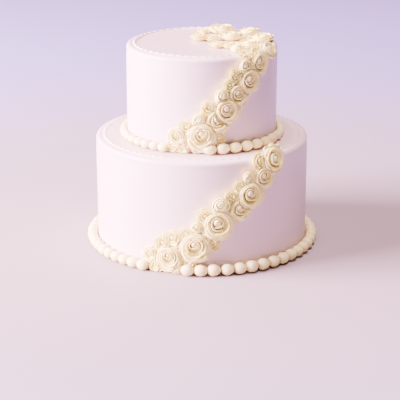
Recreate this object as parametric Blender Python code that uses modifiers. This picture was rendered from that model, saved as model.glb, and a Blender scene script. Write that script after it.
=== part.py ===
"""Two-tier round wedding cake with pearl borders and a cascade of sugar roses, for Blender 4.5.

Metres, +Z up. The origin is the middle of the cake's flat underside. The front, where the
cascade runs up from lower left to upper right, faces -Y. An azimuth is measured from the
front towards +X.
"""

import math
from typing import NamedTuple

import bmesh
import bpy
from mathutils import Matrix, Vector

MM = 0.001

# Tiers
EDGE_ROUND = 4.3 * MM
LINE_INSET = 8.5 * MM
LINE_WIDTH = 2.0 * MM
LINE_HEIGHT = 0.6 * MM
TIER_SEGMENTS = 44
EDGE_STEPS = 2

# Pearl borders
LOWER_PEARL = 5.9 * MM
UPPER_PEARL = 5.35 * MM
UPPER_SIDE = 0.74
SIDE_POWER = 0.7
WAIST_SHARE = 0.42
PEARL_STATIONS = 3
PEARL_BEVEL = 2
LOWER_EASE = 0.045
UPPER_EASE = 0.085

# Clearance between separate pieces, and the share of its radius that a flower may give up
GAP = 0.3 * MM
SHRINK_SHARE = 0.16

# Flower proportions, as shares of the flower's width
ROSE_HEIGHT = 0.40
LOW_ROSE_HEIGHT = 0.23
BUD_HEIGHT = 0.66
BLOSSOM_HEIGHT = 0.50
FOOT_SHARE = 0.62
SPIN_STEP = math.radians(137.5)

# A flower on a wall leans to the upper left and is turned part way to the front: how far it
# leans for each unit that it stands out, and how far its heart is off its middle as a share
# of its radius. The turned part grows with the tangent of the azimuth.
LEAN_LEFT = 0.15
LEAN_TURNED = 0.60
LEAN_UP = 0.42
HEART_LEFT = 0.06
HEART_TURNED = 0.18
HEART_UP = 0.12
BEND_STEPS = 6

# The room cut round a wider flower: its sides, and how far it goes past the flower's height
ROOM_SIDES = 12
ROOM_MARGIN = 12 * MM

# Points nearer than this are one point
WELD = 0.01 * MM


class Tier(NamedTuple):
    """One iced tier: its radius, its height, the level it stands on and its pearl border.

    pearl is the radius of the pearls in front. ease is the share by which the first pearl is
    larger than the middle one, and the last one smaller. side is the share of its radius that
    a pearl keeps at the sides and round the back.
    """

    radius: float
    height: float
    base: float
    pearls: int
    first_pearl: float
    last_pearl: float
    ease: float
    pearl: float
    side: float


# The pearls run from first_pearl round the back to last_pearl, in degrees of azimuth. The
# foot of the cascade fills the rest.
LOWER = Tier(108 * MM, 113 * MM, 0.0, 55, -6.9, 329.2, LOWER_EASE, LOWER_PEARL, 1.0)
UPPER_BASE = LOWER.height + GAP
UPPER = Tier(76 * MM, 93 * MM, UPPER_BASE, 40, 5.6, 332.2, UPPER_EASE, UPPER_PEARL, UPPER_SIDE)


class Form(NamedTuple):
    """A flower's form: its height as a share of its width, its segments and its rings.

    Each ring is (radius share, height share, lobe depth, lip wave), from the foot up and
    over the petals to the heart.
    """

    height: float
    segments: int
    lobes: int
    rings: tuple
    heart: float


ROSE_RINGS = (
    (0.50, 0.00, 0.00, 0.00),
    (1.00, 0.46, 0.06, 0.05),
    (0.90, 0.68, 0.05, 0.05),
    (0.70, 0.86, 0.04, 0.05),
    (0.56, 0.54, 0.02, 0.00),
    (0.42, 0.88, 0.04, 0.05),
    (0.26, 0.74, 0.00, 0.00),
)

LOW_RINGS = (
    (0.50, 0.00, 0.00, 0.00),
    (1.00, 0.55, 0.06, 0.06),
    (0.80, 0.94, 0.05, 0.06),
    (0.52, 0.62, 0.02, 0.00),
    (0.34, 0.92, 0.00, 0.00),
)

FORMS = {
    "rose": Form(ROSE_HEIGHT, 15, 5, ROSE_RINGS, 1.0),
    "low_rose": Form(LOW_ROSE_HEIGHT, 15, 5, LOW_RINGS, 1.0),
    "bud": Form(
        BUD_HEIGHT,
        9,
        3,
        (
            (0.62, 0.00, 0.00, 0.00),
            (1.00, 0.44, 0.08, 0.00),
            (0.72, 0.90, 0.08, 0.08),
            (0.36, 0.74, 0.00, 0.00),
        ),
        1.0,
    ),
    "blossom": Form(
        BLOSSOM_HEIGHT,
        15,
        5,
        (
            (0.48, 0.00, 0.00, 0.00),
            (1.00, 0.66, 0.18, 0.10),
            (0.40, 0.52, 0.00, 0.00),
        ),
        0.86,
    ),
}


class Flower(NamedTuple):
    """A sugar flower: its name, form, width, and its seat as a world matrix with +Z outwards.

    bend is the radius of the wall behind it, or 0 on a flat seat. lean is how far it leans
    across and upwards for each unit that it stands out. swing is how far its heart is off its
    middle, across and upwards, as a share of its radius.
    """

    name: str
    form: str
    width: float
    seat: Matrix
    bend: float
    lean: tuple = (0.0, 0.0)
    swing: tuple = (0.0, 0.0)


def outward(azimuth):
    """The horizontal unit vector that points outwards at an azimuth in degrees."""
    turn = math.radians(azimuth)
    return Vector((math.sin(turn), -math.cos(turn), 0.0))


def seat_matrix(place, normal, upward):
    """A matrix at place with its +Z along normal and its +Y along upward."""
    across = upward.cross(normal)
    turn = Matrix((across, upward, normal)).transposed().to_4x4()
    return Matrix.Translation(place) @ turn


def wall_seat(tier, azimuth, level):
    """A seat on a tier's wall, at a level in millimetres above the tier's foot."""
    normal = outward(azimuth)
    place = normal * (tier.radius + GAP) + Vector((0, 0, tier.base + level * MM))
    return seat_matrix(place, normal, Vector((0, 0, 1)))


def edge_seat(tier, azimuth, tilt):
    """A seat on a tier's rounded edge, tilted up from the wall by tilt degrees."""
    lean = math.radians(tilt)
    side = outward(azimuth)
    up = Vector((0, 0, 1))
    normal = side * math.cos(lean) + up * math.sin(lean)
    upward = up * math.cos(lean) - side * math.sin(lean)
    centre = side * (tier.radius - EDGE_ROUND)
    centre += up * (tier.base + tier.height - EDGE_ROUND)
    return seat_matrix(centre + normal * (EDGE_ROUND + GAP), normal, upward)


def top_seat(tier, x, y, width):
    """A seat on a tier's top, at x and y in mm, raised where the foot meets the raised line."""
    reach = (math.hypot(x, y) + FOOT_SHARE * width / 2) * MM
    lift = LINE_HEIGHT if reach > tier.radius - LINE_INSET - LINE_WIDTH else 0.0
    place = Vector((x * MM, y * MM, tier.base + tier.height + lift + GAP))
    return seat_matrix(place, Vector((0, 0, 1)), Vector((0, 1, 0)))


# Flowers on a wall: name, form, azimuth in degrees, level in mm and width in mm
LOWER_WALL = (
    ("lower_rose_1", "rose", -27.3, 16.9, 18.5),
    ("lower_rose_2", "rose", -16.6, 15.9, 25.0),
    ("lower_rose_3", "rose", -3.5, 28.5, 29.5),
    ("lower_rose_4", "rose", 8.1, 51.3, 29.5),
    ("lower_rose_5", "rose", 19.4, 64.8, 21.5),
    ("lower_rose_6", "rose", 24.7, 78.1, 26.2),
    ("lower_rose_7", "rose", 32.4, 94.0, 23.2),
    ("lower_bud_1", "bud", -2.6, 49.3, 14.5),
    ("lower_bud_2", "bud", 9.4, 71.2, 16.2),
    ("lower_bud_3", "bud", 23.6, 97.3, 12.0),
    ("lower_bud_4", "bud", -13.0, 6.2, 11.4),
    ("lower_blossom_1", "blossom", -18.4, 4.6, 9.0),
    ("lower_blossom_2", "blossom", -24.2, 6.6, 13.0),
    ("lower_blossom_4", "blossom", -6.4, 14.0, 12.0),
    ("lower_blossom_5", "blossom", -19.9, 30.2, 14.8),
    ("lower_blossom_6", "blossom", -14.9, 36.0, 15.2),
    ("lower_blossom_7", "blossom", -8.3, 41.5, 13.8),
    ("lower_blossom_8", "blossom", 5.4, 32.0, 13.0),
    ("lower_blossom_9", "blossom", 1.7, 59.6, 15.0),
    ("lower_blossom_10", "blossom", 14.6, 79.3, 13.8),
    ("lower_blossom_11", "blossom", 19.2, 87.9, 13.8),
)
UPPER_WALL = (
    ("upper_rose_1", "rose", -17.9, 16.0, 18.8),
    ("upper_rose_2", "rose", 0.0, 17.0, 28.4),
    ("upper_rose_3", "rose", 10.7, 31.4, 23.5),
    ("upper_rose_4", "rose", 17.7, 41.6, 25.4),
    ("upper_rose_5", "rose", 26.2, 56.4, 22.2),
    ("upper_rose_6", "rose", 35.3, 68.6, 24.4),
    ("upper_rose_7", "rose", 44.2, 83.7, 23.2),
    ("upper_bud_1", "bud", -1.8, 33.4, 13.8),
    ("upper_bud_2", "bud", 14.2, 56.5, 15.4),
    ("upper_bud_3", "bud", 31.2, 84.4, 13.2),
    ("upper_blossom_1", "blossom", -21.6, 5.8, 11.4),
    ("upper_blossom_2", "blossom", -13.6, 6.0, 12.0),
    ("upper_blossom_3", "blossom", -3.6, 4.2, 8.2),
    ("upper_blossom_4", "blossom", 12.2, 14.7, 12.5),
    ("upper_blossom_5", "blossom", -10.7, 25.5, 14.0),
    ("upper_blossom_6", "blossom", 5.0, 45.4, 14.0),
    ("upper_blossom_7", "blossom", 19.7, 66.4, 13.0),
    ("upper_blossom_8", "blossom", 24.4, 75.5, 12.8),
)

# Flowers on a rounded edge: name, form, azimuth in degrees, tilt in degrees and width in mm
LOWER_EDGE = (
    ("lower_rose_8", "rose", 37.7, 15.7, 25.5),
    ("lower_blossom_3", "blossom", 30.6, 17.0, 15.5),
)
UPPER_EDGE = (
    ("upper_rose_8", "rose", 57.6, 46.9, 18.5),
    ("upper_blossom_9", "blossom", 44.0, 48.7, 13.5),
    ("upper_blossom_10", "blossom", 33.6, 60.4, 12.0),
)

# Flowers on the top: name, form, x in mm, y in mm and width in mm
UPPER_TOP = (
    ("top_rose_1", "low_rose", 20.5, 45.6, 24.8),
    ("top_rose_2", "low_rose", 29.7, 12.5, 23.0),
    ("top_rose_3", "low_rose", 49.6, 36.0, 19.0),
    ("top_rose_4", "low_rose", 61.2, 4.4, 21.0),
    ("top_rose_5", "low_rose", 46.4, -25.2, 22.4),
    ("top_bud_1", "bud", 34.1, -45.6, 11.8),
    ("top_blossom_1", "blossom", -2.4, 7.6, 15.5),
    ("top_blossom_2", "blossom", 9.6, 5.0, 12.0),
    ("top_blossom_3", "blossom", 15.6, -25.0, 13.5),
    ("top_blossom_4", "blossom", 26.8, -29.0, 12.0),
    ("top_blossom_5", "blossom", 1.2, 40.4, 10.5),
    ("top_blossom_6", "blossom", 47.4, 10.7, 9.5),
)


def all_flowers():
    """Every flower, the widest first, so that a narrower one is tucked behind a wider one."""
    flowers = []
    for tier, rows in ((LOWER, LOWER_WALL), (UPPER, UPPER_WALL)):
        for name, form, azimuth, level, width in rows:
            seat = wall_seat(tier, azimuth, level)
            side = math.tan(math.radians(azimuth))
            lean = (-LEAN_LEFT - LEAN_TURNED * side, LEAN_UP)
            swing = (-HEART_LEFT - HEART_TURNED * side, HEART_UP)
            flowers.append(Flower(name, form, width * MM, seat, tier.radius, lean, swing))
    for tier, rows in ((LOWER, LOWER_EDGE), (UPPER, UPPER_EDGE)):
        for name, form, azimuth, tilt, width in rows:
            seat = edge_seat(tier, azimuth, tilt)
            flowers.append(Flower(name, form, width * MM, seat, 0.0))
    for name, form, x, y, width in UPPER_TOP:
        seat = top_seat(UPPER, x, y, width)
        flowers.append(Flower(name, form, width * MM, seat, 0.0))
    return sorted(flowers, key=lambda flower: -flower.width)


def clear_scene():
    """Removes every object that the file opened with."""
    for thing in list(bpy.data.objects):
        bpy.data.objects.remove(thing)


def new_collection(name):
    """A collection of that name in the scene."""
    collection = bpy.data.collections.new(name)
    bpy.context.scene.collection.children.link(collection)
    return collection


def finish(name, colour, roughness):
    """A Principled material, not metallic."""
    material = bpy.data.materials.new(name)
    material.use_nodes = True
    shader = material.node_tree.nodes["Principled BSDF"]
    shader.inputs["Base Color"].default_value = (*colour, 1.0)
    shader.inputs["Roughness"].default_value = roughness
    shader.inputs["Metallic"].default_value = 0.0
    return material


def mesh_object(name, mesh, collection, material=None):
    """An object for a mesh, linked to a collection and given its material."""
    thing = bpy.data.objects.new(name, mesh)
    collection.objects.link(thing)
    if material:
        mesh.materials.append(material)
    return thing


def tier_profile(tier):
    """Half a tier's outline as (radius, height), from the middle of the top down to the foot."""
    line = tier.radius - LINE_INSET
    points = [
        (0.0, tier.height),
        (line - LINE_WIDTH / 2, tier.height),
        (line, tier.height + LINE_HEIGHT),
        (line + LINE_WIDTH / 2, tier.height),
    ]
    for step in range(EDGE_STEPS + 1):
        turn = math.pi / 2 * (1 - step / EDGE_STEPS)
        points.append(
            (
                tier.radius - EDGE_ROUND * (1 - math.cos(turn)),
                tier.height - EDGE_ROUND * (1 - math.sin(turn)),
            )
        )
    return points + [(tier.radius, 0.0), (0.0, 0.0)]


def make_tier(name, tier, collection, material):
    """One solid iced tier, turned from its profile."""
    points = tier_profile(tier)
    mesh = bpy.data.meshes.new(name)
    edges = [(i, i + 1) for i in range(len(points) - 1)]
    mesh.from_pydata([(r, 0.0, z) for r, z in points], edges, [])
    thing = mesh_object(name, mesh, collection, material)
    thing.location = (0.0, 0.0, tier.base)
    turning = thing.modifiers.new("turned", "SCREW")
    turning.steps = TIER_SEGMENTS
    turning.render_steps = TIER_SEGMENTS
    turning.use_merge_vertices = True
    turning.merge_threshold = WELD
    turning.use_smooth_shade = True
    return thing


def pearl_place(tier, number):
    """The azimuth of a pearl and its radius.

    The number may lie between two pearls. The pitch falls evenly from the first pearl to the
    last, and the pearls with it. Towards the sides they shrink as the cosine of the azimuth
    does.
    """
    gaps = tier.pearls - 1
    pitch = (tier.last_pearl - tier.first_pearl) / gaps
    azimuth = tier.first_pearl + pitch * (number + tier.ease * number * (1 - number / gaps))
    size = (1 + tier.ease * (1 - 2 * number / gaps)) / (1 + tier.ease)
    front = max(0.0, math.cos(math.radians(azimuth))) ** SIDE_POWER
    return azimuth, tier.pearl * size * (tier.side + (1 - tier.side) * front)


def border_points(tier):
    """The rope of pearls as (place, radius, full radius): a waist, then a pearl's full width.

    The waist is where two pearls are pressed together. Every pearl touches the wall's gap and
    the level that it stands on.
    """
    waists = (WAIST_SHARE, 1.0, 1.0)
    points = []
    for step in range(PEARL_STATIONS * tier.pearls + 1):
        azimuth, radius = pearl_place(tier, step / PEARL_STATIONS - 0.5)
        place = outward(azimuth) * (tier.radius + GAP + radius)
        place.z = tier.base + radius + GAP / 2
        points.append((place, radius * waists[step % PEARL_STATIONS], radius))
    return points


def rope(name, points, collection):
    """A tube through points, each with the tube's radius there."""
    curve = bpy.data.curves.new(name, "CURVE")
    curve.dimensions = "3D"
    curve.twist_mode = "Z_UP"
    curve.bevel_depth = 1.0
    curve.bevel_resolution = PEARL_BEVEL
    curve.use_fill_caps = True
    spline = curve.splines.new("POLY")
    spline.points.add(len(points) - 1)
    for point, (place, radius) in zip(spline.points, points):
        point.co = (*place, 1.0)
        point.radius = radius
    thing = bpy.data.objects.new(name, curve)
    collection.objects.link(thing)
    return thing


def make_border(name, tier, collection, material):
    """The piped pearls round a tier's foot, pressed into one rope with an open run in front."""
    points = [(place, radius) for place, radius, _ in border_points(tier)]
    border = rope(name, points, collection)
    border.data.materials.append(material)
    return border


def as_cutter(thing):
    """Hides a cutter and draws it as wire."""
    thing.hide_render = True
    thing.display_type = "WIRE"
    return thing


def border_cutter(name, tier, cutters):
    """A plain closed tube round a border's pearls, which clears a flower that leans on them."""
    points = [(place, full + GAP) for place, _, full in border_points(tier)]
    curve = rope(name, points, cutters)
    graph = bpy.context.evaluated_depsgraph_get()
    mesh = bpy.data.meshes.new_from_object(curve.evaluated_get(graph))
    bm = bmesh.new()
    bm.from_mesh(mesh)
    bmesh.ops.remove_doubles(bm, verts=bm.verts, dist=WELD)
    bm.to_mesh(mesh)
    bm.free()
    place = curve.matrix_world.copy()
    bpy.data.objects.remove(curve)
    cutter = mesh_object(name, mesh, cutters)
    cutter.matrix_world = place
    return as_cutter(cutter)


def flower_height(flower):
    """How far a flower stands out from its seat."""
    return FORMS[flower.form].height * flower.width


def leaning(flower, x, y, rise):
    """A point's place once its flower leans and follows the wall behind it.

    The flower leans about half its height, and its back falls away as the wall does. Each
    depends on the other, so the place is found in a few equal steps.
    """
    pivot = flower_height(flower) / 2
    z = rise
    for _ in range(BEND_STEPS):
        across = x + flower.lean[0] * (z - pivot)
        fall = flower.bend - math.sqrt(flower.bend**2 - across**2) if flower.bend else 0.0
        z = rise - fall
    return x + flower.lean[0] * (z - pivot), y + flower.lean[1] * (z - pivot), z


def make_flower(flower, radius, spin, collection, material):
    """One flower: a sphere's rings drawn out to the rings of its form, with lobed petals.

    The nearer a ring is to the heart, the more of the heart's swing it takes.
    """
    form = FORMS[flower.form]
    height = flower_height(flower)
    bm = bmesh.new()
    stacks = len(form.rings) + 1
    bmesh.ops.create_uvsphere(
        bm, u_segments=form.segments, v_segments=stacks, radius=1.0
    )
    for vertex in bm.verts:
        ring = round(math.acos(max(-1.0, min(1.0, -vertex.co.z))) / math.pi * stacks)
        turn = math.atan2(vertex.co.y, vertex.co.x)
        if ring == 0:
            share, rise = 0.0, 0.0
        elif ring == stacks:
            share, rise = 0.0, form.heart
        else:
            share, rise, lobe, wave = form.rings[ring - 1]
            petal = math.cos(form.lobes * turn + ring)
            share *= 1 - lobe * (1 - petal) / 2
            rise -= wave * (1 + petal) / 2
        x = radius * (share * math.cos(turn + spin) + flower.swing[0] * (1 - share))
        y = radius * (share * math.sin(turn + spin) + flower.swing[1] * (1 - share))
        vertex.co = leaning(flower, x, y, height * rise)
    mesh = bpy.data.meshes.new(flower.name)
    bm.to_mesh(mesh)
    bm.free()
    mesh.shade_smooth()
    thing = mesh_object(flower.name, mesh, collection, material)
    thing.matrix_world = flower.seat
    return thing


def room_cutter(flower, radius, cutters):
    """The room that a flower takes with its clearance: a prism that leans with it."""
    reach = (radius + GAP) / math.cos(math.pi / ROOM_SIDES)
    depth = flower_height(flower) + ROOM_MARGIN
    bm = bmesh.new()
    bmesh.ops.create_cone(
        bm,
        cap_ends=True,
        segments=ROOM_SIDES,
        radius1=reach,
        radius2=reach,
        depth=2 * depth,
    )
    pivot = flower_height(flower) / 2
    for vertex in bm.verts:
        vertex.co.x += flower.lean[0] * (vertex.co.z - pivot)
        vertex.co.y += flower.lean[1] * (vertex.co.z - pivot)
    mesh = bpy.data.meshes.new(flower.name + "_room")
    bm.to_mesh(mesh)
    bm.free()
    cutter = mesh_object(flower.name + "_room", mesh, cutters)
    cutter.matrix_world = flower.seat
    return as_cutter(cutter)


def cut(thing, cutter):
    """Takes a cutter's shape out of an object."""
    boolean = thing.modifiers.new(cutter.name, "BOOLEAN")
    boolean.operation = "DIFFERENCE"
    boolean.solver = "EXACT"
    boolean.object = cutter


def heart_place(flower):
    """The point at half a flower's height, above the middle of its seat."""
    return flower.seat @ Vector((0, 0, flower_height(flower) / 2))


def make_flowers(collection, cutters, material):
    """Every flower, each clear of the wider ones that it touches and of the pearls.

    A small overlap is cleared by making the narrower flower narrower. A larger one tucks it
    behind the wider flower, whose room is then cut from it.
    """
    ropes = [
        (tier, border_cutter(name, tier, cutters))
        for name, tier in (("lower_rope", LOWER), ("upper_rope", UPPER))
    ]
    placed = []
    for number, flower in enumerate(all_flowers()):
        radius = flower.width / 2
        middle = heart_place(flower)
        behind = []
        for wider, reach in placed:
            apart = (heart_place(wider) - middle).length
            overlap = radius + reach + GAP - apart
            if overlap > SHRINK_SHARE * radius:
                behind.append((wider, reach))
            elif overlap > 0:
                radius -= overlap
        thing = make_flower(flower, radius, number * SPIN_STEP, collection, material)
        for wider, reach in behind:
            name = wider.name + "_room"
            room = bpy.data.objects.get(name) or room_cutter(wider, reach, cutters)
            cut(thing, room)
        for tier, cutter in ropes:
            low = middle.z - radius < tier.base + 2 * (tier.pearl + GAP)
            if low and flower.bend == tier.radius:
                cut(thing, cutter)
        placed.append((flower, radius))


def main():
    """Builds the cake."""
    clear_scene()
    cake = new_collection("tiered_cake")
    cutters = new_collection("cutters")
    icing = finish("icing", (0.84, 0.76, 0.77), 0.42)
    piping = finish("piping", (0.87, 0.80, 0.68), 0.40)
    petals = finish("petals", (0.88, 0.81, 0.68), 0.48)
    make_tier("lower_tier", LOWER, cake, icing)
    make_tier("upper_tier", UPPER, cake, icing)
    make_border("lower_border", LOWER, cake, piping)
    make_border("upper_border", UPPER, cake, piping)
    make_flowers(cake, cutters, petals)
    bpy.context.view_layer.update()


main()
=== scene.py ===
"""Looks of a round wedding cake: satin icing, piped pearls and a cascade of sugar flowers.

Lengths are metres unless a name ends in _MM. The origin and the axes are the frame's. The
front faces -Y, and an azimuth is measured in degrees from the front towards +X.
"""

import sys

import logging
import math
from dataclasses import dataclass, replace
from enum import Enum
from typing import Iterator, Sequence

import bmesh
import bpy
import numpy as np
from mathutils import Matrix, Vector
from numpy.typing import NDArray


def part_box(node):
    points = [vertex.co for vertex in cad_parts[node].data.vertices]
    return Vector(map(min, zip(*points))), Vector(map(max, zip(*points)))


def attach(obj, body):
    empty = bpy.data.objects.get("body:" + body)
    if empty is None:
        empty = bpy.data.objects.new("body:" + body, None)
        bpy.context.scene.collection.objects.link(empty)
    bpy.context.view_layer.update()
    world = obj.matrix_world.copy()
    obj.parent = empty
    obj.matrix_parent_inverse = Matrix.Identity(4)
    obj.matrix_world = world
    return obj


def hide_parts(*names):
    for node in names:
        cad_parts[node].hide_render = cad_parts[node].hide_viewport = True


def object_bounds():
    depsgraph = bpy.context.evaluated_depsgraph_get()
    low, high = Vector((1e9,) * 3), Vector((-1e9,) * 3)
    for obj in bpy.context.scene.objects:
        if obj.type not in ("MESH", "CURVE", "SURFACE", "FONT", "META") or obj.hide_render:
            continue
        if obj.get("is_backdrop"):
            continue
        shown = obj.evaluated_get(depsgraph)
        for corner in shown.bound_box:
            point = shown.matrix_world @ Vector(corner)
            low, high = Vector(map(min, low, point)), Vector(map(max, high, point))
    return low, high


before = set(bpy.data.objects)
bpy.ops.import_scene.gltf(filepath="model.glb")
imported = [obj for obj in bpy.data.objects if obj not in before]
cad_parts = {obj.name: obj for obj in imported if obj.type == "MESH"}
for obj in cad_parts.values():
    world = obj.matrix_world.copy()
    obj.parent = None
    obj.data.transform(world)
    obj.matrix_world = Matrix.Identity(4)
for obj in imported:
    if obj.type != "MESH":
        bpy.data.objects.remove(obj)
CAD_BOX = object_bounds()

Array = NDArray[np.float64]
Index = NDArray[np.int64]
Colour = tuple[float, float, float]
Pair = tuple[float, float]

LOG = logging.getLogger("cake")
MM = 0.001
BODY = "root"
WELD = 0.002 * MM

# Sizes and proportions that the CAD solids are built to
EDGE_ROUND = 4.3 * MM
LINE_INSET = 8.5 * MM
LINE_WIDTH = 2.0 * MM
CAD_LINE_HEIGHT = 0.6 * MM
FOOT_SHARE = 0.62
GAP = 0.3 * MM
SHRINK_SHARE = 0.16
LEAN_LEFT = 0.15
LEAN_TURNED = 0.60
LEAN_UP = 0.42
BEND_STEPS = 6
SPIN_STEP = math.radians(137.5)
SIDE_POWER = 0.7

# How far the wall flowers' hearts are off their middles, as shares of the radius
HEART_LEFT = -0.02
HEART_TURNED = 0.18
HEART_UP = 0.22

# What keeps the visual inside the CAD box
HEIGHT_SHARE = 0.985
EASE = 0.8 * MM
PEARL_INSET = 0.05 * MM

# Rows of points in the plain walls, how two edge flowers lie lower, and the painted shade that darkens the
# top flowers
WALL_ROWS = 24
LOW_ON_EDGE = ("upper_blossom_9", "upper_blossom_10")
LOW_SHARE = 0.62
TOP_SHADE = 0.22

# The cone under a flower's outer petals: shares of its height and radius, and clearances
CONE_SHARE = 0.46
CONE_START = 0.5
CONE_REACH = 1.04
CONE_GAP = 0.4 * MM
CONE_FLOOR = 0.2 * MM


def grid_faces(rows: int, columns: int, ring: bool = False, flip: bool = False) -> Index:
    """Four-cornered faces over a grid of points that is stored row by row.

    Args:
        rows: Number of rows of points.
        columns: Number of points in each row.
        ring: Whether each row closes on itself.
        flip: Whether the faces are turned over. Unflipped, a face points along the step
            from column to column crossed with the step from row to row.

    Returns:
        The faces as an array of corner numbers, one face a line.
    """
    across = columns if ring else columns - 1
    row, column = np.meshgrid(np.arange(rows - 1), np.arange(across), indexing="ij")
    after = (column + 1) % columns
    corners = [
        row * columns + column,
        row * columns + after,
        (row + 1) * columns + after,
        (row + 1) * columns + column,
    ]
    if flip:
        corners.reverse()
    return np.stack(corners, axis=-1).reshape(-1, 4)


def repeated(faces: Index, points: int, copies: int) -> Index:
    """The faces of several copies of a mesh whose points are stored one copy after another."""
    steps = np.arange(copies)[:, None, None] * points
    return (faces[None] + steps).reshape(-1, 4)


def bezier(path: Sequence[Pair], along: Array) -> tuple[Array, Array]:
    """A cubic curve through a plane: (1-t)^3 a + 3(1-t)^2 t b + 3(1-t) t^2 c + t^3 d.

    Args:
        path: The four control points.
        along: The values of t, from 0 at the first point to 1 at the last.

    Returns:
        The first and the second coordinate at each t.
    """
    rest = 1.0 - along
    weights = (rest**3, 3 * rest**2 * along, 3 * rest * along**2, along**3)
    first = sum(weight * point[0] for weight, point in zip(weights, path))
    second = sum(weight * point[1] for weight, point in zip(weights, path))
    return first, second


@dataclass(frozen=True)
class Surface:
    """A mesh worked out as arrays.

    Attributes:
        points: One point a line.
        faces: Four corner numbers a line.
        tone: For each point, its painted light: 0 for painted shade deep in a crease to 1 for a painted
            highlight on a lip that catches the light.
    """

    points: Array
    faces: Index
    tone: Array

    @staticmethod
    def joined(parts: Sequence["Surface"]) -> "Surface":
        """One surface that holds all of the parts."""
        starts = np.cumsum([0] + [len(part.points) for part in parts[:-1]])
        faces = [part.faces + start for part, start in zip(parts, starts)]
        return Surface(
            np.concatenate([part.points for part in parts]),
            np.concatenate(faces),
            np.concatenate([part.tone for part in parts]),
        )


class Slot(Enum):
    """The record's material slots."""

    ICING = "icing"
    PIPING = "piping"
    ROSE = "rose_petals"
    FILLER = "filler_petals"


class Graph:
    """A material's nodes, added and linked one by one."""

    def __init__(self, name: str) -> None:
        """Starts a material that holds a Principled shader and its output."""
        self.material = bpy.data.materials.new(name)
        self.material.use_nodes = True
        self.nodes = self.material.node_tree.nodes
        self.links = self.material.node_tree.links
        self.shader = self.nodes["Principled BSDF"]

    def add(self, kind: str, **values: object) -> bpy.types.Node:
        """Adds a node and sets its properties."""
        node = self.nodes.new(kind)
        for name, value in values.items():
            setattr(node, name, value)
        return node

    def link(self, start: bpy.types.NodeSocket, end: bpy.types.NodeSocket) -> None:
        """Joins an output to an input."""
        self.links.new(start, end)

    def set(self, **values: object) -> None:
        """Sets the shader's own inputs, named with underscores for spaces."""
        for name, value in values.items():
            self.shader.inputs[name.replace("_", " ")].default_value = value

    def noise(self, scale: float, detail: float, stretch: Pair = (1.0, 1.0)) -> bpy.types.Node:
        """A cloudy pattern on the piece's own coordinates.

        Args:
            scale: Patches in a metre.
            detail: How many finer layers it has.
            stretch: The pattern's scale across and upwards.

        Returns:
            The noise node.
        """
        place = self.add("ShaderNodeTexCoord")
        turn = self.add("ShaderNodeMapping")
        turn.inputs["Scale"].default_value = (stretch[0], stretch[0], stretch[1])
        cloud = self.add("ShaderNodeTexNoise")
        cloud.inputs["Scale"].default_value = scale
        cloud.inputs["Detail"].default_value = detail
        self.link(place.outputs["Object"], turn.inputs["Vector"])
        self.link(turn.outputs["Vector"], cloud.inputs["Vector"])
        return cloud

    def ramp(self, stops: Sequence[tuple[float, Colour]]) -> bpy.types.Node:
        """A colour ramp with the given stops."""
        node = self.add("ShaderNodeValToRGB")
        node.color_ramp.interpolation = "EASE"
        bands = node.color_ramp.elements
        while len(bands) < len(stops):
            bands.new(0.5)
        for band, (place, colour) in zip(bands, stops):
            band.position = place
            band.color = (*colour, 1.0)
        return node

    def spread(self, source: bpy.types.NodeSocket, low: float, high: float) -> bpy.types.Node:
        """Maps a pattern's middle range onto low to high."""
        node = self.add("ShaderNodeMapRange")
        node.inputs["From Min"].default_value = 0.3
        node.inputs["From Max"].default_value = 0.7
        node.inputs["To Min"].default_value = low
        node.inputs["To Max"].default_value = high
        self.link(source, node.inputs["Value"])
        return node

    def tinted(self, cloud: bpy.types.Node, drift: float, stops: Sequence[tuple[float, Colour]]) -> None:
        """Colours the shader by the piece's tone, which holds painted shade and painted highlight.

        Args:
            cloud: The pattern that makes the tone uneven.
            drift: How far it moves the tone up and down.
            stops: The colours along the tone, from 0 to 1.
        """
        tone = self.add("ShaderNodeAttribute", attribute_name="tone")
        shift = self.spread(cloud.outputs["Fac"], -drift, drift)
        blend = self.add("ShaderNodeMath", operation="ADD", use_clamp=True)
        self.link(tone.outputs["Fac"], blend.inputs[0])
        self.link(shift.outputs["Result"], blend.inputs[1])
        ramp = self.ramp(stops)
        self.link(blend.outputs["Value"], ramp.inputs["Fac"])
        self.link(ramp.outputs["Color"], self.shader.inputs["Base Color"])

    def relief(self, layers: Sequence[tuple[bpy.types.Node, float, float]]) -> None:
        """Bumps from patterns, one on another.

        Args:
            layers: For each, the noise node, its strength and its depth in metres.
        """
        normal = None
        for cloud, strength, depth in layers:
            bump = self.add("ShaderNodeBump")
            bump.inputs["Strength"].default_value = strength
            bump.inputs["Distance"].default_value = depth
            self.link(cloud.outputs["Fac"], bump.inputs["Height"])
            if normal:
                self.link(normal, bump.inputs["Normal"])
            normal = bump.outputs["Normal"]
        self.link(normal, self.shader.inputs["Normal"])


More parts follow.
